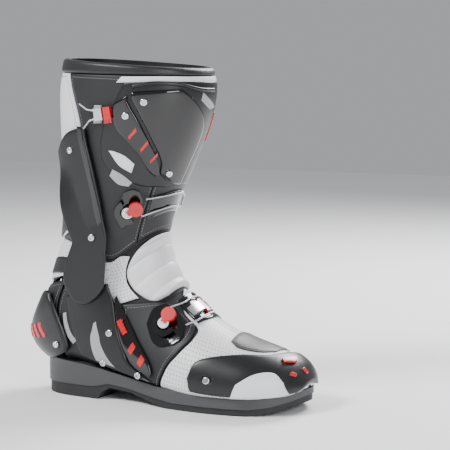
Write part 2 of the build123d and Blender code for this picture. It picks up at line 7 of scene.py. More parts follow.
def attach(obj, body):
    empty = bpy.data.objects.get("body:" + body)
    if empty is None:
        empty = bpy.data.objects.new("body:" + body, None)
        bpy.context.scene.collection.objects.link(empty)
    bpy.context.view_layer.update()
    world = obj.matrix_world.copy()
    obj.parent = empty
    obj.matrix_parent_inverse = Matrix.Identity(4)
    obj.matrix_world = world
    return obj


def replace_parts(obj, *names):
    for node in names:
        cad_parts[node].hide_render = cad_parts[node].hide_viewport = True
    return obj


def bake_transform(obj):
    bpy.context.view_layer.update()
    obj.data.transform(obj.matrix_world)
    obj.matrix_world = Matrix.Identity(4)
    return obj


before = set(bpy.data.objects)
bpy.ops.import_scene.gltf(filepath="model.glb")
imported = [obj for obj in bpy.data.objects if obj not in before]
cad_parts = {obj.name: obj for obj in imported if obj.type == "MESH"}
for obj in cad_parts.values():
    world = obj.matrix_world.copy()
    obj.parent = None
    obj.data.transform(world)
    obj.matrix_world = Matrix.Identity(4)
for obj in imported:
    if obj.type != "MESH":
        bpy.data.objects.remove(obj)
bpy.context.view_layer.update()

# Distances in millimetres, as in the design; meshes are scaled to metres when they are made.
stations = np.array([
    [229.5, 25, 229.5, 22.5, 3, 2.5, 10, -0.2, 2.0, 2.2],
    [227, 27, 226, 21, 16, 14, 10, -0.2, 2.0, 2.2],
    [222, 39, 220, 17, 31, 27, 10, -0.3, 2.0, 2.6],
    [213, 48, 209, 14, 41, 36, 8, -0.35, 2.1, 3.0],
    [195, 56, 191, 12, 49, 43, 5, -0.4, 2.1, 3.2],
    [170, 64, 164, 12, 52, 48, 2, -0.45, 2.1, 3.4],
    [145, 74, 130, 13, 53, 50, 0, -0.45, 2.1, 3.4],
    [121, 88, 92, 17, 49, 47, 0, -0.45, 2.1, 3.2],
    [101, 106, 50, 24, 45, 44, 0, -0.4, 2.1, 3.0],
    [86, 127, 5, 31, 43, 41, 0, -0.3, 2.1, 2.8],
    [78, 150, -42, 36, 42, 40, 0, -0.15, 2.1, 2.5],
    [79, 174, -67, 62, 43, 41, 0, 0.0, 2.1, 2.3],
    [87, 200, -47, 112, 45, 43, 0, 0.0, 2.1, 2.2],
    [99, 228, -32, 160, 48, 46, 0, 0.0, 2.1, 2.1],
    [112, 258, -29, 210, 53, 51, 0, 0.0, 2.1, 2.1],
    [122, 288, -31, 262, 58, 56, 0, 0.0, 2.1, 2.1],
    [125, 312, -31, 308, 61, 58, 0, 0.0, 2.1, 2.1],
    [121, 330, -24, 340, 61, 58, 0, 0.0, 2.1, 2.1],
])
cheekY = 51.8
featherX = [-75, -45, -20, 5, 30, 50, 70, 92, 130, 165, 191, 209, 220, 240]
featherZ = [36, 35, 33, 31, 28, 25.5, 22, 18.5, 15.5, 14.5, 15, 17, 19, 23]


def through(points, where):
    # A Catmull-Rom curve: it passes through every row of points.
    points = np.asarray(points, float)
    last = len(points) - 1
    where = np.clip(np.asarray(where, float), 0, last)
    i = np.minimum(where.astype(int), last - 1)
    f = (where - i)[..., None]
    ends = np.vstack([2 * points[0] - points[1], points, 2 * points[-1] - points[-2]])
    a, b, c, d = ends[i], ends[i + 1], ends[i + 2], ends[i + 3]
    return b + 0.5 * f * ((c - a) + f * ((2 * a - 5 * b + 4 * c - d) + f * (3 * (b - c) + d - a)))


def skin(t, angle, out=0.0):
    # The boot's surface: each station is a superellipse between its front and back points,
    # wider by out all round; the angle is 0 in front, 90 inside, 180 behind and -90 outside.
    t, angle, out = np.broadcast_arrays(*(np.asarray(v, float) for v in (t, angle, out)))
    v = through(stations, t + 1)
    xf, zf, xb, zb, outer, inner, yc, widest, roundUp, roundDown = (v[..., k] for k in range(10))
    grow = out * np.clip(t + 1, 0, 1)
    half = np.hypot(xf - xb, zf - zb) / 2
    ux, uz = (xf - xb) / 2 / half, (zf - zb) / 2 / half
    c, s = np.cos(np.radians(angle)), np.sin(np.radians(angle))
    power = 2 / np.where(c > 0, roundUp, roundDown)
    up = np.where(c > 0, widest + (1 - widest) * abs(c) ** power, widest - (1 + widest) * abs(c) ** power)
    side = yc + np.sign(s) * (np.where(s > 0, inner, outer) + grow) * abs(s) ** power
    x = (xf + xb) / 2 + ux * (half + grow) * up + out * np.clip(1 - t / 3, 0, 1)
    z = (zf + zb) / 2 + uz * (half + grow) * up
    return np.stack([x, side, z], -1)


def cheek(p, outward):
    # Beside the hinge the brace arms are flat; above the shin they follow the leg.
    blend = np.clip((235 - p[..., 2]) / 45, 0, 1)
    blend = blend * blend * (3 - 2 * blend)
    y = p[..., 1]
    wide = np.maximum(abs(y), cheekY + outward)
    return np.stack([p[..., 0], np.sign(y) * (abs(y) + blend * (wide - abs(y))), p[..., 2]], -1)


def footLine(t, side):
    angles = np.linspace(80, 180, 401)
    p = skin(t, side * angles)
    low = p[:, 2] <= np.interp(p[:, 0], featherX, featherZ) + 0.3
    return side * (angles[np.argmax(low)] if low.any() else 180.0)


def alongFoot(places, side):
    return [(t, footLine(t, side)) for t in places]


def mirrored(edge):
    return [(t, -angle) for t, angle in edge]


def aroundHeel(half):
    return half + [(t, -360 - angle) for t, angle in half[::-1] if angle > -180]


def even(edge, places):
    # Points of a smooth edge at the given fractions of its length.
    fine = through(edge, np.linspace(0, len(edge) - 1, 300))
    walk = np.linalg.norm(np.diff(skin(fine[:, 0], fine[:, 1]), axis=0), axis=1)
    walk = np.concatenate([[0], np.cumsum(walk)])
    return np.stack([np.interp(places * walk[-1], walk, fine[:, k]) for k in (0, 1)], -1), walk[-1]


def fractions(length, step, roll):
    # Close rows near both ends, for the rolled edges, and even rows between them.
    near = np.array([0, 0.06, 0.22, 0.5, 1]) * min(roll, length * 0.3)
    count = max(int(length / step), 3)
    middle = np.linspace(near[-1], length - near[-1], count + 2)[1:-1]
    return np.concatenate([near, middle, (length - near)[::-1]]) / length


def patch(low, high, left=None, right=None, step=2.2, roll=2.0):
    # A Coons patch in (station, angle): the four edges are blended, and the corners taken off once.
    left = left or [low[0], high[0]]
    right = right or [low[-1], high[-1]]
    lengths = [even(e, np.array([0.0, 1.0]))[1] for e in (low, high, left, right)]
    lu, lv = max(lengths[:2]), max(lengths[2:])
    u, v = fractions(lu, step, roll), fractions(lv, step, roll)
    b, t = (even(e, u)[0][:, None] for e in (low, high))
    l, r = (even(e, v)[0][None] for e in (left, right))
    uu, vv = u[:, None, None], v[None, :, None]
    corners = (1 - uu) * (1 - vv) * l[:, :1] + (1 - uu) * vv * l[:, -1:]
    corners = corners + uu * (1 - vv) * r[:, :1] + uu * vv * r[:, -1:]
    grid = (1 - vv) * b + vv * t + (1 - uu) * l + uu * r - corners
    return grid, u, v


materials = {}


def meshOf(name, points, faces, material, uv=None):
    mesh = bpy.data.meshes.new(name)
    mesh.from_pydata((points * 0.001).tolist(), [], faces.tolist() if hasattr(faces, "tolist") else faces)
    if uv is not None:
        layer = mesh.uv_layers.new(name="mm")
        loops = np.empty(len(mesh.loops), np.int32)
        mesh.loops.foreach_get("vertex_index", loops)
        layer.data.foreach_set("uv", uv[loops].astype(np.float32).ravel())
    mesh.polygons.foreach_set("use_smooth", np.full(len(mesh.polygons), True))
    mesh.materials.append(materials[material])
    mesh.validate()
    piece = bpy.data.objects.new(name, mesh)
    bpy.context.scene.collection.objects.link(piece)
    return piece


def gridFaces(nu, nv, start=0, flip=False):
    i = np.arange(nu * nv).reshape(nu, nv) + start
    q = np.stack([i[:-1, :-1], i[1:, :-1], i[1:, 1:], i[:-1, 1:]], -1).reshape(-1, 4)
    return q[:, ::-1] if flip else q


def place(piece, body):
    if isinstance(body, tuple):
        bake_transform(piece)
    else:
        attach(piece, body)


seam = {"depth": 0.35, "width": 0.7}            # the groove that a row of stitches pulls into the leather


def panel(name, material, layer, low, high, left=None, right=None, body="foot", roll=1.6, step=2.2,
          relief=None, flat=False, stitch=0.0, swell=0.0):
    # A panel between two distances out from the skin: a top grid, an under grid and a wall round them.
    # low, high, left and right are its edges in (station, angle); stitch is how far in the stitches run.
    grid, u, v = patch(low, high, left, right, step, roll)
    t, angle = grid[..., 0], grid[..., 1]
    base = skin(t, angle, layer[1])
    du = np.linalg.norm(np.diff(base, axis=0), axis=2)
    dv = np.linalg.norm(np.diff(base, axis=1), axis=2)
    fromU = np.concatenate([np.zeros((1, len(v))), np.cumsum(du, 0)])
    fromV = np.concatenate([np.zeros((len(u), 1)), np.cumsum(dv, 1)], 1)
    edge = np.minimum(np.minimum(fromU, fromU[-1] - fromU), np.minimum(fromV, fromV[:, -1:] - fromV))
    # The rolled edge is a quarter circle: the height falls by 1 - sqrt(1 - k squared), k from 0 inside to 1.
    k = np.clip(1 - edge / roll, 0, 1)
    thick = layer[1] - layer[0]
    drop = min(roll, thick) * (1 - np.sqrt(1 - k * k))
    out = layer[1] - drop
    uu, vv = u[:, None] + 0 * v[None], v[None] + 0 * u[:, None]
    # A padded panel rises by half of swell in its middle, as u (1 - u) v (1 - v).
    out = out + swell * 8 * uu * (1 - uu) * vv * (1 - vv)
    if stitch:
        out = out - seam["depth"] * np.exp(-((edge - stitch) / seam["width"]) ** 2)
    if relief is not None:
        out = out + relief(uu, vv, edge)
    top, under = skin(t, angle, out), skin(t, angle, layer[0])
    if flat:
        top, under = cheek(top, out - layer[0]), cheek(under, 0 * out)
    shape = t.shape
    faces = np.concatenate([gridFaces(*shape), gridFaces(*shape, start=t.size, flip=True)])
    ring = np.concatenate([np.arange(shape[0]) * shape[1], (shape[0] - 1) * shape[1] + np.arange(1, shape[1]),
                           (np.arange(shape[0] - 1) * shape[1] + shape[1] - 1)[::-1],
                           np.arange(1, shape[1] - 1)[::-1]])
    after = np.roll(ring, -1)
    faces = np.concatenate([faces, np.stack([after, ring, ring + t.size, after + t.size], -1)])
    middle = top[shape[0] // 2, shape[1] // 2]
    outward = middle - under[shape[0] // 2, shape[1] // 2]
    a = top[shape[0] // 2 + 1, shape[1] // 2] - middle
    b = top[shape[0] // 2, shape[1] // 2 + 1] - middle
    if np.dot(np.cross(a, b), outward) < 0:
        faces = faces[:, ::-1]
    uv = np.stack([fromU, fromV], -1).reshape(-1, 2)
    points = np.concatenate([top.reshape(-1, 3), under.reshape(-1, 3)])
    piece = meshOf(name, points, faces, material, np.concatenate([uv, uv]))
    place(piece, body)
    if stitch:
        sew(name, top, edge, stitch, body)
    return piece


thread = {"length": 2.1, "gap": 1.0, "radius": 0.34, "sides": 6, "fromEnd": 3}


def sew(name, top, edge, inset, body):
    # Rows of stitches beside the edges: each is a six-sided spindle, thinner at its two ends.
    rows = []
    for axis, end in ((0, 0), (0, -1), (1, 0), (1, -1)):
        g = top if axis == 1 else top.transpose(1, 0, 2)
        e = edge if axis == 1 else edge.T
        g, e = (g, e) if end == 0 else (g[:, ::-1], e[:, ::-1])
        column = int(np.argmax(e[e.shape[0] // 2] >= inset))
        line = g[:, column][2:-2]
        inside = e[:, column][2:-2] > inset * 0.7
        line = line[inside]
        if len(line) < 4:
            continue
        walk = np.concatenate([[0], np.cumsum(np.linalg.norm(np.diff(line, axis=0), axis=1))])
        starts = np.arange(1, walk[-1] - thread["fromEnd"], thread["length"] + thread["gap"])
        a = np.stack([np.interp(starts, walk, line[:, k]) for k in range(3)], -1)
        b = np.stack([np.interp(starts + thread["length"], walk, line[:, k]) for k in range(3)], -1)
        rows.append(np.stack([a, b], 1))
    if not rows:
        return
    ends = np.concatenate(rows)
    along = ends[:, 1] - ends[:, 0]
    along /= np.linalg.norm(along, axis=1)[:, None] + 1e-9
    side = np.cross(along, [0.3, 0.5, 0.81])
    side /= np.linalg.norm(side, axis=1)[:, None] + 1e-9
    third = np.cross(along, side)
    sides = thread["sides"]
    turn = np.radians(np.arange(sides) * 360 / sides)
    profile = ((0.0, 0.35), (0.25, 1.0), (0.75, 1.0), (1.0, 0.35))
    rings = []
    for f, r in profile:
        centre = ends[:, 0] + f * (ends[:, 1] - ends[:, 0])
        ring = np.cos(turn)[None, :, None] * side[:, None] + np.sin(turn)[None, :, None] * third[:, None]
        rings.append(centre[:, None] + thread["radius"] * r * ring)
    points = np.stack(rings, 1).reshape(-1, 3)
    j = np.arange(sides)
    after = (j + 1) % sides
    bands = [np.stack([j, after, sides + after, sides + j], -1) + k * sides for k in range(len(profile) - 1)]
    quad = np.concatenate(bands)
    faces = (np.arange(len(ends))[:, None, None] * sides * len(profile) + quad[None]).reshape(-1, 4)
    piece = meshOf(name + "_stitches", points, faces, "thread")
    place(piece, body)


# materials: shared effects as node groups
def group(name, inputs, outputs):
    tree = bpy.data.node_groups.new(name, "ShaderNodeTree")
    for label, kind, value in inputs:
        item = tree.interface.new_socket(name=label, in_out="INPUT", socket_type=kind)
        if value is not None:
            item.default_value = value
    for label, kind in outputs:
        tree.interface.new_socket(name=label, in_out="OUTPUT", socket_type=kind)
    return tree, tree.nodes.new("NodeGroupInput"), tree.nodes.new("NodeGroupOutput")


def mathNode(tree, operation, a, b=None, clamp=False):
    node = tree.nodes.new("ShaderNodeMath")
    node.operation = operation
    node.use_clamp = clamp
    for i, v in enumerate((a, b)):
        if v is None:
            continue
        if isinstance(v, (int, float)):
            node.inputs[i].default_value = v
        else:
            tree.links.new(v, node.inputs[i])
    return node.outputs[0]


def grainGroup():
    # Grain: fine cells and slow unevenness, as a height, and a mask of rubbed patches.
    tree, given, result = group("surfaceGrain", [("Scale", "NodeSocketFloat", 900.0)],
                                [("Height", "NodeSocketFloat"), ("Wear", "NodeSocketFloat")])
    place3 = tree.nodes.new("ShaderNodeTexCoord").outputs["Object"]
    cells = tree.nodes.new("ShaderNodeTexVoronoi")
    cells.feature = "F1"
    tree.links.new(place3, cells.inputs["Vector"])
    tree.links.new(given.outputs["Scale"], cells.inputs["Scale"])
    slow = tree.nodes.new("ShaderNodeTexNoise")
    slow.inputs["Scale"].default_value = 38
    slow.inputs["Detail"].default_value = 5
    tree.links.new(place3, slow.inputs["Vector"])
    height = mathNode(tree, "ADD", cells.outputs["Distance"],
                      mathNode(tree, "MULTIPLY", slow.outputs["Fac"], 0.6))
    tree.links.new(height, result.inputs["Height"])
    wear = mathNode(tree, "MULTIPLY", mathNode(tree, "SUBTRACT", slow.outputs["Fac"], 0.5), 2.2, True)
    tree.links.new(wear, result.inputs["Wear"])
    return tree


def perforationGroup():
    # Perforation: round holes on a staggered grid in the panel's own millimetres.
    tree, given, result = group("perforation", [("Pitch", "NodeSocketFloat", 3.6),
                                                ("Radius", "NodeSocketFloat", 0.62)],
                                [("Hole", "NodeSocketFloat")])
    uv = tree.nodes.new("ShaderNodeUVMap")
    uv.uv_map = "mm"
    split = tree.nodes.new("ShaderNodeSeparateXYZ")
    tree.links.new(uv.outputs["UV"], split.inputs[0])
    x = mathNode(tree, "DIVIDE", split.outputs[0], given.outputs["Pitch"])
    y = mathNode(tree, "DIVIDE", split.outputs[1], given.outputs["Pitch"])
    row = mathNode(tree, "FLOOR", y)
    shift = mathNode(tree, "MULTIPLY", mathNode(tree, "MODULO", row, 2.0), 0.5)
    fx = mathNode(tree, "SUBTRACT", mathNode(tree, "FRACT", mathNode(tree, "ADD", x, shift)), 0.5)
    fy = mathNode(tree, "SUBTRACT", mathNode(tree, "FRACT", y), 0.5)
    squares = [mathNode(tree, "MULTIPLY", f, f) for f in (fx, fy)]
    far = mathNode(tree, "SQRT", mathNode(tree, "ADD", *squares))
    radius = mathNode(tree, "DIVIDE", given.outputs["Radius"], given.outputs["Pitch"])
    soft = mathNode(tree, "MULTIPLY", mathNode(tree, "SUBTRACT", radius, far), 18.0, True)
    tree.links.new(soft, result.inputs["Hole"])
    return tree


groups = {"grain": grainGroup(), "holes": perforationGroup()}


# The colour painted in the perforation holes is the dark lining behind them plus painted shade inside each hole.
def material(name, colour, roughness, grain=900.0, bump=0.25, metallic=0.0, coat=0.0, worn=0.12, holes=False,
             sheen=0.0, holeShadeColour=(0.05, 0.05, 0.055)):
    m = bpy.data.materials.new(name)
    m.use_nodes = True
    tree = m.node_tree
    shader = tree.nodes["Principled BSDF"]
    g = tree.nodes.new("ShaderNodeGroup")
    g.node_tree = groups["grain"]
    g.inputs["Scale"].default_value = grain
    mix = tree.nodes.new("ShaderNodeMix")
    mix.data_type = "RGBA"
    mix.inputs["A"].default_value = (*colour, 1)
    mix.inputs["B"].default_value = (*[min(1, c * (1 - worn) + 0.02 * worn) for c in colour], 1)
    tree.links.new(g.outputs["Wear"], mix.inputs["Factor"])
    colourOut, height = mix.outputs["Result"], g.outputs["Height"]
    if holes:
        p = tree.nodes.new("ShaderNodeGroup")
        p.node_tree = groups["holes"]
        # Painted shade: the perforation holes are darkened to their own colour, standing for the lining behind
        # and the shade inside each hole.
        holeShadeMix = tree.nodes.new("ShaderNodeMix")
        holeShadeMix.data_type = "RGBA"
        tree.links.new(colourOut, holeShadeMix.inputs["A"])
        holeShadeMix.inputs["B"].default_value = (*holeShadeColour, 1)
        tree.links.new(p.outputs["Hole"], holeShadeMix.inputs["Factor"])
        colourOut = holeShadeMix.outputs["Result"]
        height = mathNode(tree, "SUBTRACT", mathNode(tree, "MULTIPLY", height, 0.25), p.outputs["Hole"])
    tree.links.new(colourOut, shader.inputs["Base Color"])
    rough = mathNode(tree, "ADD", mathNode(tree, "MULTIPLY", g.outputs["Wear"], 0.12), roughness)
    tree.links.new(rough, shader.inputs["Roughness"])
    b = tree.nodes.new("ShaderNodeBump")
    b.inputs["Strength"].default_value = bump
    b.inputs["Distance"].default_value = 0.0003
    tree.links.new(height, b.inputs["Height"])
    tree.links.new(b.outputs["Normal"], shader.inputs["Normal"])
    shader.inputs["Metallic"].default_value = metallic
    shader.inputs["Coat Weight"].default_value = coat
    shader.inputs["Coat Roughness"].default_value = 0.04
    shader.inputs["Sheen Weight"].default_value = sheen
    materials[name] = m


material("whiteLeather", (0.74, 0.74, 0.76), 0.4, grain=1300, bump=0.18, worn=0.06)
material("whitePerforated", (0.74, 0.74, 0.76), 0.42, grain=1300, bump=0.35, worn=0.06, holes=True)
material("greyLeather", (0.012, 0.0125, 0.0135), 0.5, grain=1500, bump=0.3)
material("blackLeather", (0.012, 0.012, 0.013), 0.42, grain=1200, bump=0.35)
# Its holes are painted near black, darker than the lining: painted shade in the perforations.
material("blackPerforated", (0.014, 0.014, 0.015), 0.42, grain=1200, bump=0.35, holes=True,
         holeShadeColour=(0.001, 0.001, 0.001))
material("greyPlastic", (0.0085, 0.009, 0.0098), 0.33, grain=2600, bump=0.12)
material("glossBlack", (0.0018, 0.0018, 0.002), 0.07, grain=300, bump=0.01, coat=0.5)
material("silverPanel", (0.34, 0.35, 0.37), 0.34, grain=900, bump=0.08)
material("midsoleGrey", (0.055, 0.057, 0.06), 0.48, grain=2200, bump=0.15)
material("rubber", (0.014, 0.014, 0.015), 0.6, grain=1800, bump=0.35)
material("whitePlastic", (0.72, 0.73, 0.75), 0.4, grain=2600, bump=0.08)
material("redPlastic", (0.55, 0.002, 0.008), 0.25, grain=600, bump=0.05, coat=0.4)
material("steel", (0.72, 0.73, 0.75), 0.2, grain=1600, bump=0.04, metallic=1.0)
material("cable", (0.55, 0.56, 0.58), 0.3, grain=4000, bump=0.4, metallic=1.0)
material("lining", (0.01, 0.01, 0.011), 0.85, grain=1000, bump=0.6, sheen=0.3)
material("thread", (0.2, 0.2, 0.21), 0.7, grain=3000, bump=0.5)
material("ground", (0.93, 0.93, 0.94), 0.7, grain=40, bump=0.0, worn=0.0)
print("materials made")

# camera, floor and lights
camera = {"azimuth": 27, "elevation": 6, "distance": 1.6, "lens": 128, "sensor": 36,
          "middle": (0.060, 0, 0.170), "right": 0.075, "up": 0.003}
lights = {      # where it stands, what it looks at, its width in metres and its power
    "key": ((-0.7, -1.3, 1.5), (0.05, 0, 0.15), 0.6, 46),
    "fill": ((1.5, -1.0, 0.7), (0.05, 0, 0.15), 0.6, 14),
    "rim": ((0.3, 1.3, 1.2), (0.05, 0, 0.2), 0.8, 46),
}
studio = {"sky": (0.95, 0.96, 1, 1), "strength": 0.42, "floor": 3000}


def makeCamera():
    a, e = math.radians(camera["azimuth"]), math.radians(camera["elevation"])
    back = np.array([math.sin(a) * math.cos(e), -math.cos(a) * math.cos(e), math.sin(e)])
    right = np.array([math.cos(a), math.sin(a), 0])
    up = np.cross(back, right)
    data = bpy.data.cameras.new("camera")
    data.lens, data.sensor_width = camera["lens"], camera["sensor"]
    eye = bpy.data.objects.new("camera", data)
    spot = np.array(camera["middle"]) + back * camera["distance"] + right * camera["right"] + up * camera["up"]
    turn = Matrix([list(v) for v in np.stack([right, up, back], 1)])
    eye.matrix_world = Matrix.Translation(spot.tolist()) @ turn.to_4x4()
    bpy.context.scene.collection.objects.link(eye)
    bpy.context.scene.camera = eye


def area(name, spot, look, wide, power):
    data = bpy.data.lights.new(name, "AREA")
    data.size, data.energy = wide, power
    lamp = bpy.data.objects.new(name, data)
    back = (np.array(spot) - np.array(look)) / np.linalg.norm(np.array(spot) - np.array(look))
    right = np.cross([0, 0, 1], back)
    right /= np.linalg.norm(right)
    turn = Matrix([list(v) for v in np.stack([right, np.cross(back, right), back], 1)])
    lamp.matrix_world = Matrix.Translation(spot) @ turn.to_4x4()
    bpy.context.scene.collection.objects.link(lamp)


makeCamera()
for name, values in lights.items():
    area(name, *values)
world = bpy.data.worlds.new("studio")
bpy.context.scene.world = world
world.use_nodes = True
world.node_tree.nodes["Background"].inputs["Color"].default_value = studio["sky"]
world.node_tree.nodes["Background"].inputs["Strength"].default_value = studio["strength"]
floorPoints = studio["floor"] * np.array([[-1, -1, 0], [1, -1, 0], [1, 1, 0], [-1, 1, 0]], float)
meshOf("studio_floor", floorPoints, np.array([[0, 1, 2, 3]]), "ground")
print("stage made")

front = ((0.09, 0, 0.118), (0.077, 0, 0.164))        # where the ankle's soft pieces turn from foot to shaft
beside = ((0.03, 0, 0.112), (0.026, 0, 0.158))
behind = ((-0.05, 0, 0.116), (-0.036, 0, 0.166))
leather = (0.0, 2.2)

# foot leather
vampBack = [(7.2, -0.2), (6.45, -24), (5.62, -29), (5.5, -45), (5.68, -66), (5.88, -90)]


def makeVamp():
    for side, tag in ((-1, "lateral"), (1, "medial")):
        edge = alongFoot([0.3, 1, 2, 3, 4, 5, 5.88], -1)
        back = vampBack + [edge[-1]]
        fore = [(-0.9, -0.2), (-0.9, -50), (-0.9, -98)]
        top = [fore[0]] + [(t, -0.2) for t in (0.3, 1, 2, 3, 4, 5, 6)] + [back[0]]
        edges = [fore, back, top, [fore[-1], (-0.3, -98)] + edge]
        if side > 0:
            edges = [mirrored(e) for e in edges]
        piece = panel("vamp_" + tag + "_skin", "whitePerforated", leather, *edges, roll=0.4)
        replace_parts(piece, "vamp_" + tag)


def makeFootPanels():
    frontEdge = [(5.72, -29), (5.6, -45), (5.76, -66), (5.95, -90)]
    instepEdge = [(8.3, -66), (7.7, -78), (7.1, -92), (6.75, -104)]
    fore, back = frontEdge + alongFoot([5.97], -1), instepEdge + alongFoot([6.6], -1)
    top = [fore[0], (6.5, -26.5), (7.2, -35.5), (7.8, -53), back[0]]
    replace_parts(panel("instep_skin", "greyLeather", (0, 2.4), fore, back, top, [fore[-1], back[-1]],
                      stitch=2.6),
                "instep_panel")
    quarterTop = [(8.38, -66), (9.0, -67), (9.7, -76), (10.1, -90), (10.5, -103)]
    quarterBack = [(10.5, -103), (9.6, -111), (8.9, -122)]
    fore = [quarterTop[0]] + [(t + 0.07, a) for t, a in instepEdge[1:]] + alongFoot([6.67], -1)
    back = quarterBack + alongFoot([8.5], -1)
    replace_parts(panel("quarter_lateral_skin", "greyLeather", leather, fore, back, quarterTop,
                      alongFoot([6.67, 7.2, 7.8, 8.5], -1), stitch=2.4), "quarter_lateral")
    fore = mirrored(frontEdge) + alongFoot([5.97], 1)
    top = [(5.72, 29), (6.5, 26.5), (7.2, 36), (7.8, 55)] + mirrored(quarterTop)
    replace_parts(panel("quarter_medial_skin", "whitePerforated", leather, fore,
                      mirrored(quarterBack) + alongFoot([8.5], 1),
                      top, alongFoot([5.97, 6.6, 7.2, 7.8, 8.5], 1), stitch=2.4), "quarter_medial")
    base = alongFoot([8.54, 8.66, 8.78, 8.88], -1) + [(9.02, -180)]
    high = [(10.46, -106), (10.7, -125), (10.85, -150), (10.9, -180)]
    side = [base[0], (9.0, -124), (9.7, -113), high[0]]
    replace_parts(panel("heel_counter_skin", "greyLeather", leather, aroundHeel(base), aroundHeel(high), side,
                      [(t, -360 - a) for t, a in side], stitch=2.4), "heel_counter")


ribs = {"count": 5, "height": 3.0}


def ribbed(u, v, edge):
    # Each rib is a half circle across the panel's height, faded out at the sides.
    wave = np.sqrt(np.clip(1 - (2 * ((v * ribs["count"]) % 1) - 1) ** 2, 0, 1))
    return ribs["height"] * wave * np.clip(edge / 3, 0, 1)


def makeAnkle():
    side = [(7.3, -26), (7.5, -42), (8.12, -50), (8.8, -52), (9.2, -50), (9.55, -41), (9.68, -26)]
    flex = panel("flex_skin", "whiteLeather", (0, 2.6), [(7.3, -26), (7.32, 0), (7.3, 26)],
                 [(9.68, -26), (9.66, 0), (9.68, 26)], side, mirrored(side), body=front, relief=ribbed,
                 step=1.4)
    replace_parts(flex, "flex_panel")
    for way, tag in ((-1, "lateral"), (1, "medial")):
        fore = [(8.0, -52), (8.4, -53.3), (8.8, -53.5), (9.22, -51.5), (9.55, -47.5)]
        low = [fore[0], (8.45, -68), (9.0, -69.5), (9.75, -79.5), (10.12, -93)]
        high = [fore[-1], (9.8, -56), (9.86, -65), (10.35, -80), (10.88, -95)]
        edges = [low, high, fore, [low[-1], high[-1]]]
        if way > 0:
            edges = [mirrored(e) for e in edges]
        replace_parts(panel("ankle_" + tag + "_skin", "whitePerforated", leather, *edges, body=beside, roll=1.0),
                    "ankle_panel_" + tag)
    low = [(10.2, -95), (10.6, -108), (10.85, -130), (10.98, -155), (11.0, -180)]
    high = [(10.95, -97), (11.4, -112), (11.75, -135), (11.8, -158), (11.8, -180)]
    piece = panel("achilles_skin", "whitePerforated", (0, 2.4), aroundHeel(low), aroundHeel(high),
                  body=behind, swell=3)
    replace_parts(piece, "achilles_panel")
    low = [(10.75, -112), (10.98, -130), (11.15, -155), (11.2, -180)]
    high = [(11.05, -108), (11.35, -130), (11.5, -155), (11.5, -180)]
    panel("achilles_strap", "blackLeather", (2.8, 4.6), aroundHeel(low), aroundHeel(high), body=behind)


def whole(half):
    return half + mirrored(half)[-2::-1]


def makeLinings():
    low = [(9.4, -178), (10.75, -150), (10.6, -108), (10.05, -90), (9.4, -72), (8.3, -68), (7.25, -36),
           (7.15, 0)]
    high = [(11.95, -178), (11.95, -150), (11.6, -112), (10.8, -90), (9.95, -66), (9.85, -45), (9.8, -26),
            (9.78, 0)]
    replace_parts(panel("ankle_lining", "lining", (-2.8, -0.4), whole(low), whole(high), body=beside, step=4),
                "ankle_liner")
    rim = [(15.9, a) for a in range(-178, 179, 12)] + [(15.9, 178)]
    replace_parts(panel("shaft_lining", "lining", (-2.8, -0.4), whole(high), rim, body="shaft", step=4),
                "shaft_liner")


# shaft leather
def makeShaft():
    rim = 15.5
    low = [(9.9, -41), (9.93, -64), (10.75, -84), (11.35, -100), (11.85, -112)]
    calf = [(11.85, -112), (13, -110), (14.1, -112), (rim, -127)]
    calfIn = [(11.85, 124), (13, 110), (14.1, 96), (rim, 98)]
    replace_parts(panel("shaft_front_skin", "blackLeather", leather, [(9.9, -40.6), (9.82, 0), (9.9, 40.6)],
                      [(rim, -40.6), (rim, 40.6)], body="shaft", stitch=2.4), "shaft_front")
    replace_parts(panel("shaft_lateral_skin", "greyLeather", leather, low, [(rim, -40.9), (rim, -127)],
                      [(9.9, -40.9), (rim, -40.9)], calf, body="shaft", stitch=2.4), "shaft_lateral")
    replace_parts(panel("shaft_medial_skin", "greyLeather", leather, mirrored(low)[:4] + [calfIn[0]],
                      [(rim, 40.9), (rim, 98)], [(9.9, 40.9), (rim, 40.9)], calfIn, body="shaft", stitch=2.4),
                "shaft_medial")
    low = [(11.87, -113), (11.9, -150), (11.9, -180), (11.9, -210), (11.87, -235)]
    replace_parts(panel("calf_skin", "whiteLeather", leather, low, [(rim, -128), (rim, -180), (rim, -261)],
                      [low[0], (13, -111), (14.1, -113), (rim, -128)], [low[-1], (13, -249), (14.1, -263),
                                                                        (rim, -261)],
                      body="shaft", stitch=2.4, swell=1.0), "calf_panel")
    low = [(13.3, 104), (13.5, 140), (13.4, 178)]
    panel("calf_stripe", "silverPanel", (2.3, 2.8), low, [(t + 0.3, a - 2) for t, a in low], body="shaft",
          roll=0.4)
    ring = [(15.52, a) for a in range(-178, 179, 6)] + [(15.52, 179)]
    collar = panel("collar_skin", "blackLeather", (-3, 3.8), ring, [(15.97, a) for _, a in ring],
                   body="shaft", roll=3.2)
    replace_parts(collar, "collar")
    panel("collar_band", "whiteLeather", (2.3, 3.6), [(15.2, -82), (15.22, -40), (15.2, 12), (15.2, 24)],
          [(15.45, -78), (15.5, -40), (15.5, 12), (15.5, 24)], body="shaft", roll=1.0)


# straps, pads and plates
def capsule(name, material, layer, t, angle, dt, da, width, body, roll=0.8):
    # A small bar from (t, angle) along (dt, da), its width in degrees; the middle of each end stands out.
    low = [(t, angle), (t - 0.08 * dt, angle + width / 2), (t, angle + width)]
    high = [(t + dt, angle + da), (t + 1.08 * dt, angle + da + width / 2), (t + dt, angle + da + width)]
    return panel(name, material, layer, low, high, body=body, roll=roll, step=1.2)


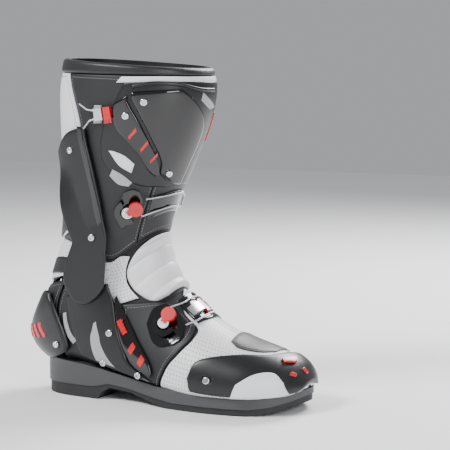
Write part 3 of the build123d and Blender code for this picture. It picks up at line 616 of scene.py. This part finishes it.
def makeSoftStraps():
    pad = panel("gear_pad_skin", "blackPerforated", (2.3, 3.6), [(2.75, -8), (2.75, 30), (2.8, 66)],
                [(4.35, -22), (4.5, 20), (4.3, 66)], [(2.75, -8), (3.2, -22), (3.9, -28), (4.35, -22)],
                stitch=1.6)
    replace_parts(pad, "gear_pad")
    low = [(5.72, -24), (5.6, 0), (5.7, 40), (5.9, 100)]
    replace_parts(panel("instep_strap_skin", "glossBlack", (2.4, 4.0), low, [(6.9, -24), (6.95, 0), (7.0, 40),
                                                                           (7.0, 100)]),
                "instep_strap")
    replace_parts(panel("shin_strap_skin", "glossBlack", (2.4, 4.0), [(10.55, -36), (10.5, 0), (10.55, 50)],
                      [(11.35, -38), (11.3, 0), (11.4, 50)], body="shaft"), "shin_strap")


def makeFootPlates():
    yokeFront = [(6.1, -104), (6.55, -99), (7.17, -89), (8.0, -75.5), (8.55, -68), (9.2, -67)]
    yokeRear = [(8.15, -118), (8.5, -106), (8.9, -99), (9.4, -97), (9.9, -98)]
    low = [yokeFront[0], (6.7, -110), (7.4, -116), yokeRear[0]]
    for side, tag in ((-1, "lateral"), (1, "medial")):
        edges = [low, [yokeFront[-1], (9.7, -83), yokeRear[-1]], yokeFront, yokeRear]
        inset = [[(7.2, -108), (7.75, -113)], [(8.5, -84), (8.52, -86)], [(7.2, -108), (7.8, -94), (8.5, -84)],
                 [(7.75, -113), (8.1, -99), (8.52, -86)]]
        if side > 0:
            edges, inset = [mirrored(e) for e in edges], [mirrored(e) for e in inset]
        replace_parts(panel("yoke_" + tag + "_shell", "greyPlastic", (4.4, 7.0), *edges, roll=2.2, step=1.8),
                    "yoke_" + tag)
        panel("yoke_" + tag + "_inset", "silverPanel", (6.6, 7.15), *inset, roll=0.5, step=1.2)
    cupSide = [(8.6, -122), (8.72, -113), (9.07, -107), (9.57, -107), (10.07, -112), (10.45, -121)]
    cupLow = [(8.6, -122), (8.8, -142), (9.03, -165), (9.08, -180)]
    cupHigh = [(10.45, -121), (10.75, -145), (10.82, -165), (10.84, -180)]
    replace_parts(panel("heel_cup_shell", "greyPlastic", (5, 8.5), aroundHeel(cupLow), aroundHeel(cupHigh),
                      cupSide,
                      [(t, -360 - a) for t, a in cupSide], roll=3.0, step=1.8), "heel_cup")
    for side in (-1, 1):
        for i in range(4):
            capsule("heel_vent_%d_%d" % (side + 1, i), "redPlastic", (8.2, 9.3), 9.42 + 0.12 * i,
                    side * (124 + 8 * i),
                    0.42 - 0.03 * i, side * 2, side * 4.2, "foot")
        panel("heel_reflector_%d" % (side + 1), "silverPanel", (2.4, 3.2),
              [(8.62, side * 112), (8.6, side * 106)],
              [(9.55, side * 104), (9.5, side * 101)], roll=0.5)
    rear = [(6.2, -96), (6.72, -93.5), (7.35, -85.5), (8.05, -74), (8.6, -66)]
    fore = [(6.2, -91), (6.57, -82), (7.5, -70.5), (8.27, -65.5), (8.62, -64)]
    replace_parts(panel("vent_plate_shell", "glossBlack", (4.4, 6.9), [rear[0], fore[0]],
                      [rear[-1], fore[-1]], rear, fore,
                      roll=1.2, step=1.4), "vent_plate")
    for i, (t, a) in enumerate(((6.98, -86.5), (6.55, -90.5))):
        capsule("vent_bar_%d" % i, "redPlastic", (6.8, 7.8), t, a, 0.16, 1.5, 7.0, "foot")
    for i in range(3):
        capsule("vent_rib_%d" % i, "redPlastic", (8.6, 9.3), 7.56 + 0.12 * i, -76.6 + 1.4 * i, 0.05, 0.5, 3.0,
                "vent_shutter", roll=0.5)
    top = [(5.1, -84), (5.02, -66), (4.6, -54), (3.7, -38), (2.8, -23), (2.35, 0), (2.2, 25), (2.1, 55),
           (2.2, 88)]
    low = [(4.9, -98), (4, -98), (3, -98), (2, -98), (1, -98), (0.2, -94), (-0.35, -60), (-0.5, 0), (-0.35, 60),
           (0.2, 94), (1, 98), (2, 98)]
    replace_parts(panel("toe_guard_shell", "greyPlastic", (2.6, 5.4), low, top, roll=2.0, step=1.8), "toe_guard")
    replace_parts(panel("toe_puck_shell", "whitePlastic", (5.3, 8.0), [(3.6, -96), (2.6, -96), (1.6, -96),
                                                                     (0.9, -92)],
                      [(3.45, -79), (2.8, -61), (2.1, -55), (1.4, -68)], roll=2.0, step=1.4), "toe_puck")
    capsule("toe_slider_cap", "redPlastic", (5.8, 7.6), 1.5, -20, 0.42, -9, 7, "toe_vent", roll=0.9)
    for i, (t, a) in enumerate(((0.85, -46), (0.45, -14))):
        capsule("toe_vent_%d" % i, "redPlastic", (5.2, 6.4), t, a, 0.4, -3, 9, "foot")
    capsule("toe_slot", "glossBlack", (5.2, 5.8), 4.28, -84, 0.32, 0, 8, "foot")


def makeArms():
    rear = [(9.4, -89), (10.02, -96), (10.62, -105), (11.05, -108), (11.42, -108), (11.65, -113), (12.25, -126),
            (12.85, -134), (13.67, -142)]
    fore = [(9.02, -74), (9.15, -67), (9.9, -65), (10.82, -72), (11.82, -86), (13.5, -102), (14.05, -105)]
    rearIn = [(9.4, 89), (10.0, 97), (10.6, 107), (11.0, 106), (11.5, 102), (12.2, 110), (13, 127), (13.7, 138)]
    foreIn = [(9.02, 74), (9.3, 66), (10.4, 67), (11.4, 79), (12.6, 89), (13.6, 90), (14.2, 90)]
    for side, tag, back, front in ((-1, "lateral", rear, fore), (1, "medial", rearIn, foreIn)):
        low, high = [back[0], (9.1, side * 82), front[0]], [back[-1], (13.98, side * 124), front[-1]]
        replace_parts(panel("arm_" + tag + "_shell", "greyPlastic", (5.4, 8.8), low, high, back, front,
                          body="shaft",
                          roll=2.4, step=1.8, flat=True), "arm_" + tag)
        # A gloss stripe along the front edge and a light teardrop at the hinge.
        stripe = [[(t, a + side * 1.0) for t, a in front[1:]], [(t + 0.03, a + side * 5.2) for t,
                                                                a in front[1:]]]
        panel("arm_" + tag + "_stripe", "glossBlack", (8.5, 9.3), stripe[0], stripe[1], body="shaft", roll=0.7,
              step=1.8, flat=True)
        drop = [(9.6, side * 86), (10.0, side * 82.5), (10.6, side * 85), (10.95, side * 92)]
        dropBack = [(9.6, side * 88), (10.1, side * 93), (10.55, side * 95.5), (10.95, side * 94)]
        panel("arm_" + tag + "_drop", "silverPanel", (8.5, 9.1), drop, dropBack, body="shaft", roll=0.5,
              step=1.4,
              flat=True)
        if side > 0:
            panel("arm_medial_window", "silverPanel", (8.5, 9.1), [(11.9, 95), (13.2, 99)],
                  [(11.95, 97), (13.25, 120)],
                  body="shaft", roll=0.6, step=1.4, flat=True)


def makeShinPlates():
    side = [(11.55, -24), (12.05, -56), (12.9, -86), (13.4, -93), (14, -91), (14.5, -84), (15.2, -76)]
    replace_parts(panel("shin_frame_shell", "greyPlastic", (2.4, 4.1), [(11.55, -24), (11.5, 0), (11.55, 22)],
                      [(15.2, -76), (15.25, -20), (15.2, 24)], side, [(11.55, 22), (13, 25), (15.2, 24)],
                      body="shaft", roll=1.6, step=2.0), "shin_frame")
    seam = [(11.5, -12), (11.62, -20), (12.1, -37), (12.55, -41), (13.5, -56.5), (14.5, -69.5), (14.85, -71)]
    edge = [(11.45, -5), (12.8, -2), (13.5, -4), (14.3, -19), (14.9, -33)]
    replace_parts(panel("shin_plate_shell", "glossBlack", (5, 8), [seam[0], edge[0]], [seam[-1], edge[-1]],
                      seam, edge,
                      body="shaft", roll=2.4, step=1.6), "shin_plate")
    seam = [(12.15, -39.5), (12.55, -43.5), (13.5, -59), (14.45, -72.5), (14.75, -74)]
    edge = [(12.1, -42), (12.4, -51), (12.97, -62), (13.42, -72), (13.82, -81), (14.22, -84), (14.55, -83)]
    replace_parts(panel("shin_side_shell", "glossBlack", (4.4, 6.9), [seam[0], edge[0]], [seam[-1], edge[-1]],
                      seam, edge,
                      body="shaft", roll=1.6, step=1.6), "shin_side_plate")
    for i, (t, a) in enumerate(((13.58, -72), (13.15, -62), (12.7, -52))):
        panel("shin_slot_%d" % i, "redPlastic", (6.5, 7.4), [(t, a), (t - 0.1, a + 0.8)],
              [(t + 0.2, a + 5), (t + 0.08, a + 6)], body="shaft", roll=0.6, step=1.2)
    panel("shin_window", "silverPanel", (3.9, 4.7), [(14.72, -11), (14.42, -1), (14.1, 13)],
          [(14.4, -13), (14.2, -6), (14.02, 2)], body="shaft", roll=0.6, step=1.4)
    panel("shin_side_window", "whitePlastic", (3.9, 5.2), [(13.36, -87), (12.9, -78), (12.55, -66.5)],
          [(13.3, -82.5), (13.1, -74), (12.78, -65)], body="shaft", roll=0.9, step=1.4)
    panel("shin_side_stripe", "silverPanel", (3.9, 4.7), [(12.72, -85), (12.4, -77), (12.18, -67)],
          [(12.86, -83), (12.6, -74), (12.25, -64)], body="shaft", roll=0.5, step=1.4)
    panel("shin_tube", "greyPlastic", (3.8, 6.6), [(14.98, -71), (15.1, -55), (15.02, -36), (14.78, -15),
                                                   (14.72, 4)],
          [(15.12, -70), (15.26, -55), (15.2, -36), (14.95, -15), (14.9, 4)], body="shaft", roll=1.6, step=1.4)
    panel("shin_edge_red", "redPlastic", (3.8, 5.4), [(12.95, 20.5), (13.45, 21), (13.9, 19.5)],
          [(12.95, 24), (13.45, 24.6), (13.95, 23)], body="shaft", roll=0.8, step=1.2)
    for side in (-1, 1):
        t, a = (14.14, -95.5) if side < 0 else (14.14, 61)
        panel("calf_ratchet_%d" % (side + 1), "silverPanel", (2.2, 4.6), [(14.08, a - 3), (14.06, a + 3.4)],
              [(14.54, a - 2), (14.52, a + 3.4)], body="shaft", roll=1.2, step=1.2)
        panel("calf_toggle_%d" % (side + 1), "redPlastic", (2.4, 5.4), [(14.02, a + 5), (14.02, a + 11)],
              [(14.36, a + 5), (14.38, a + 11)], body="shaft", roll=1.4, step=1.2)
    guard = panel("achilles_guard_shell", "greyPlastic", (2.5, 4.8), [(12.0, -126), (11.95, -180), (12.0,
                                                                                                    -234)],
                  [(12.8, -132), (13.0, -180), (12.8, -228)], body="shaft", roll=1.6, step=2.2)
    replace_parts(guard, "achilles_guard")


finishes = {
    "rubber": ["outsole"], "midsoleGrey": ["midsole"], "lining": ["insole_board", "footbed", "foot_liner"],
    "steel": ["hinge_pins", "foot_screws", "shaft_screws", "calf_blocks", "instep_bracket"],
    "cable": ["instep_cable", "shin_cable", "calf_bails"],
    "glossBlack": ["instep_dial_base", "instep_dial_hub", "instep_release", "shin_dial_base",
                   "shin_dial_hub", "shin_release"],
    "redPlastic": ["instep_hook", "vent_shutter", "toe_vent_slider", "calf_lever_lateral",
                   "calf_lever_medial", "instep_crank",
                   "shin_crank"],
    "whitePlastic": ["instep_rotor", "shin_rotor"],
}


def finishNodes():
    for name, nodes in finishes.items():
        for node in nodes:
            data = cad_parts[node].data
            data.materials.clear()
            data.materials.append(materials[name])


for make in (makeVamp, makeFootPanels, makeAnkle, makeLinings, makeShaft, makeSoftStraps, makeFootPlates,
             makeArms,
             makeShinPlates, finishNodes):
    make()
    print(make.__name__, "done")
